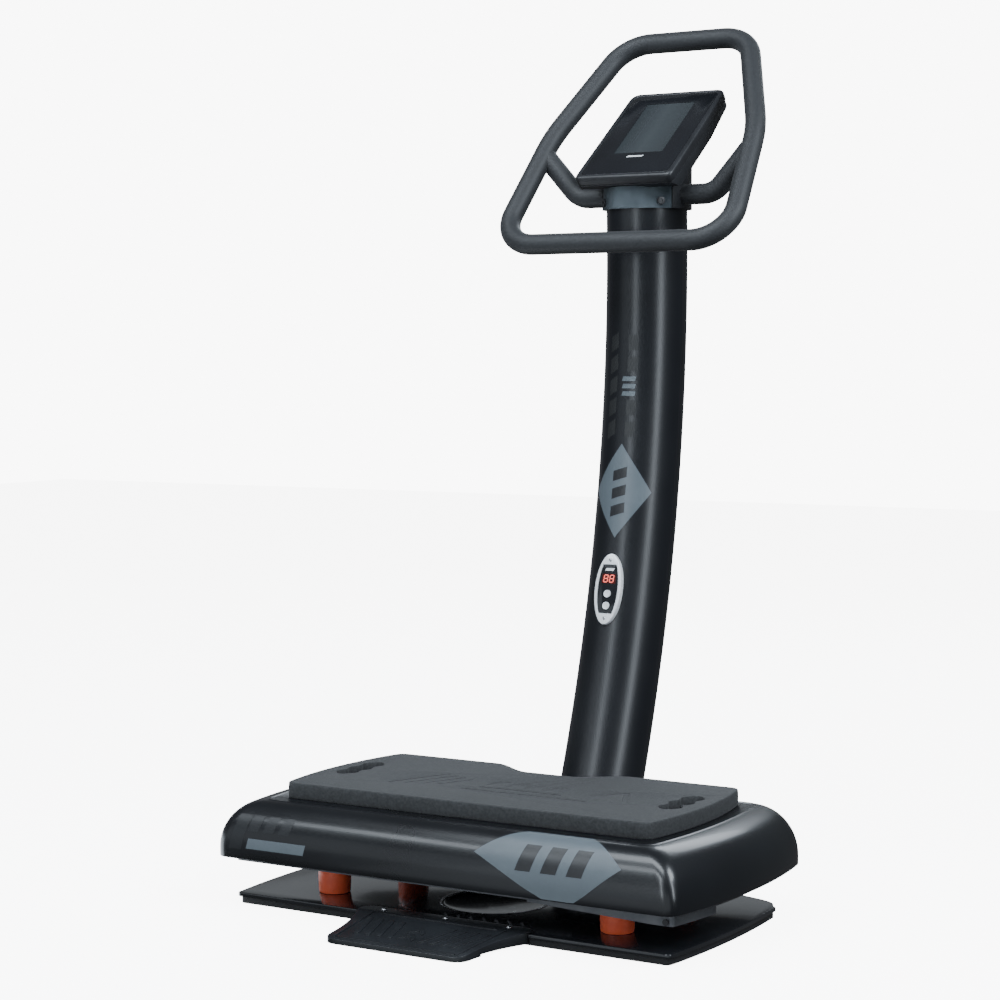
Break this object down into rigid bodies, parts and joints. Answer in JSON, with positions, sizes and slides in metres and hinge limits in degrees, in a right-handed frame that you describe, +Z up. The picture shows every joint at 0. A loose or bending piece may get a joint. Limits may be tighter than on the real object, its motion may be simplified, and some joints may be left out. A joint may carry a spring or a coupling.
{
  "type": "vibration plate",
  "caption": "Whole-body vibration plate: a matted platform on rubber dampers over a steel base, with a curved column carrying a console and a padded handlebar loop.",
  "frame": {"origin": "on the floor under the middle of the platform", "axes": "+X to the machine's right, +Y to its rear, where the column stands, +Z up"},
  "size_m": [0.8738, 0.9757, 1.4526],
  "materials": {
    "base_steel": "semi-gloss black powder coat",
    "underlay_rubber": "matt black",
    "dish_enamel": "polished black bowl",
    "bright_steel": "zinc plated",
    "pad_rubber": "satin black",
    "damper_rubber": "satin orange-red",
    "frame_steel": "grey coat",
    "cover_plastic": "satin black",
    "mat_foam": "matt charcoal",
    "motor_aluminium": "cast",
    "copper_winding": "varnished winding and laminations",
    "column_paint": "satin black",
    "black_plastic": "moulded black",
    "band_carbon": "woven-look grey",
    "bezel_silver": "silver",
    "panel_black": "glossy black",
    "led_red": "red digits",
    "button_white": "white",
    "board_green": "circuit board",
    "grip_foam": "matt charcoal foam",
    "tube_steel": "black coat",
    "lcd_grey": "grey display"
  },
  "bodies": {
    "base": {"base_plate": "base_steel", "base_underlay": "underlay_rubber", "base_dish": "dish_enamel", "dish_rim": "bright_steel", "foot_pad": "pad_rubber", "foot_pad_screws": "bright_steel", "front_left_damper": "damper_rubber", "front_right_damper": "damper_rubber", "rear_left_damper": "damper_rubber", "rear_right_damper": "damper_rubber", "column_foot": "base_steel", "column_gussets": "base_steel", "column_foot_bolts": "bright_steel", "column": "column_paint", "column_wiring": "black_plastic", "rear_cover": "black_plastic", "mains_inlet": "black_plastic", "switch_frame": "black_plastic", "control_board": "board_green", "display_bezel": "bezel_silver", "display_panel": "panel_black", "display_digits": "led_red", "display_board": "board_green", "display_screws": "bright_steel", "head_sleeve": "column_paint", "clamp_band": "band_carbon", "clamp_bolts": "black_plastic", "arm_tubes": "tube_steel", "arm_foam": "grip_foam", "loop_tube": "tube_steel", "loop_foam": "grip_foam", "console_base": "cover_plastic", "console_top": "cover_plastic", "console_glass": "panel_black", "console_lcd": "lcd_grey", "console_board": "board_green", "console_screws": "black_plastic"},
    "platform": {"deck_pan": "frame_steel", "deck_ribs": "frame_steel", "deck_plate": "frame_steel", "rail_bolt": "bright_steel", "damper_caps": "bright_steel", "damper_nuts": "bright_steel", "shell": "cover_plastic", "mat": "mat_foam", "strap_bars": "bright_steel", "motor_housing": "motor_aluminium", "motor_shields": "motor_aluminium", "motor_bearings": "bright_steel", "motor_stator": "copper_winding", "motor_caps": "motor_aluminium", "motor_bolts": "bright_steel"},
    "rotor": {"motor_shaft": "bright_steel", "rotor_core": "bright_steel", "eccentric_weights": "frame_steel"},
    "upper_button": {"button_upper": "button_white"},
    "lower_button": {"button_lower": "button_white"},
    "power_rocker": {"switch_rocker": "black_plastic"}
  },
  "joints": [
    {"name": "platform_bounce", "type": "slide", "parent": "base", "child": "platform", "axis": [0, 0, 1], "range_m": [-0.003, 0.003], "stiffness_N_per_m": 300000, "springref_m": 0.0016, "deforming": ["front_left_damper", "front_right_damper", "rear_left_damper", "rear_right_damper"]},
    {"name": "rotor_spin", "type": "hinge", "parent": "platform", "child": "rotor", "pos_m": [0, -0.03, 0.1], "axis": [1, 0, 0], "continuous": true},
    {"name": "upper_button_press", "type": "slide", "parent": "base", "child": "upper_button", "axis": [0, 0.9729, -0.231], "range_m": [0, 0.001], "stiffness_N_per_m": 800, "springref_m": -0.001},
    {"name": "lower_button_press", "type": "slide", "parent": "base", "child": "lower_button", "axis": [0, 0.9729, -0.231], "range_m": [0, 0.001], "stiffness_N_per_m": 800, "springref_m": -0.001},
    {"name": "power_rocker_tip", "type": "hinge", "parent": "base", "child": "power_rocker", "pos_m": [0.032, 0.44, 0.076], "axis": [1, 0, 0], "range_deg": [-12, 0]}
  ]
}
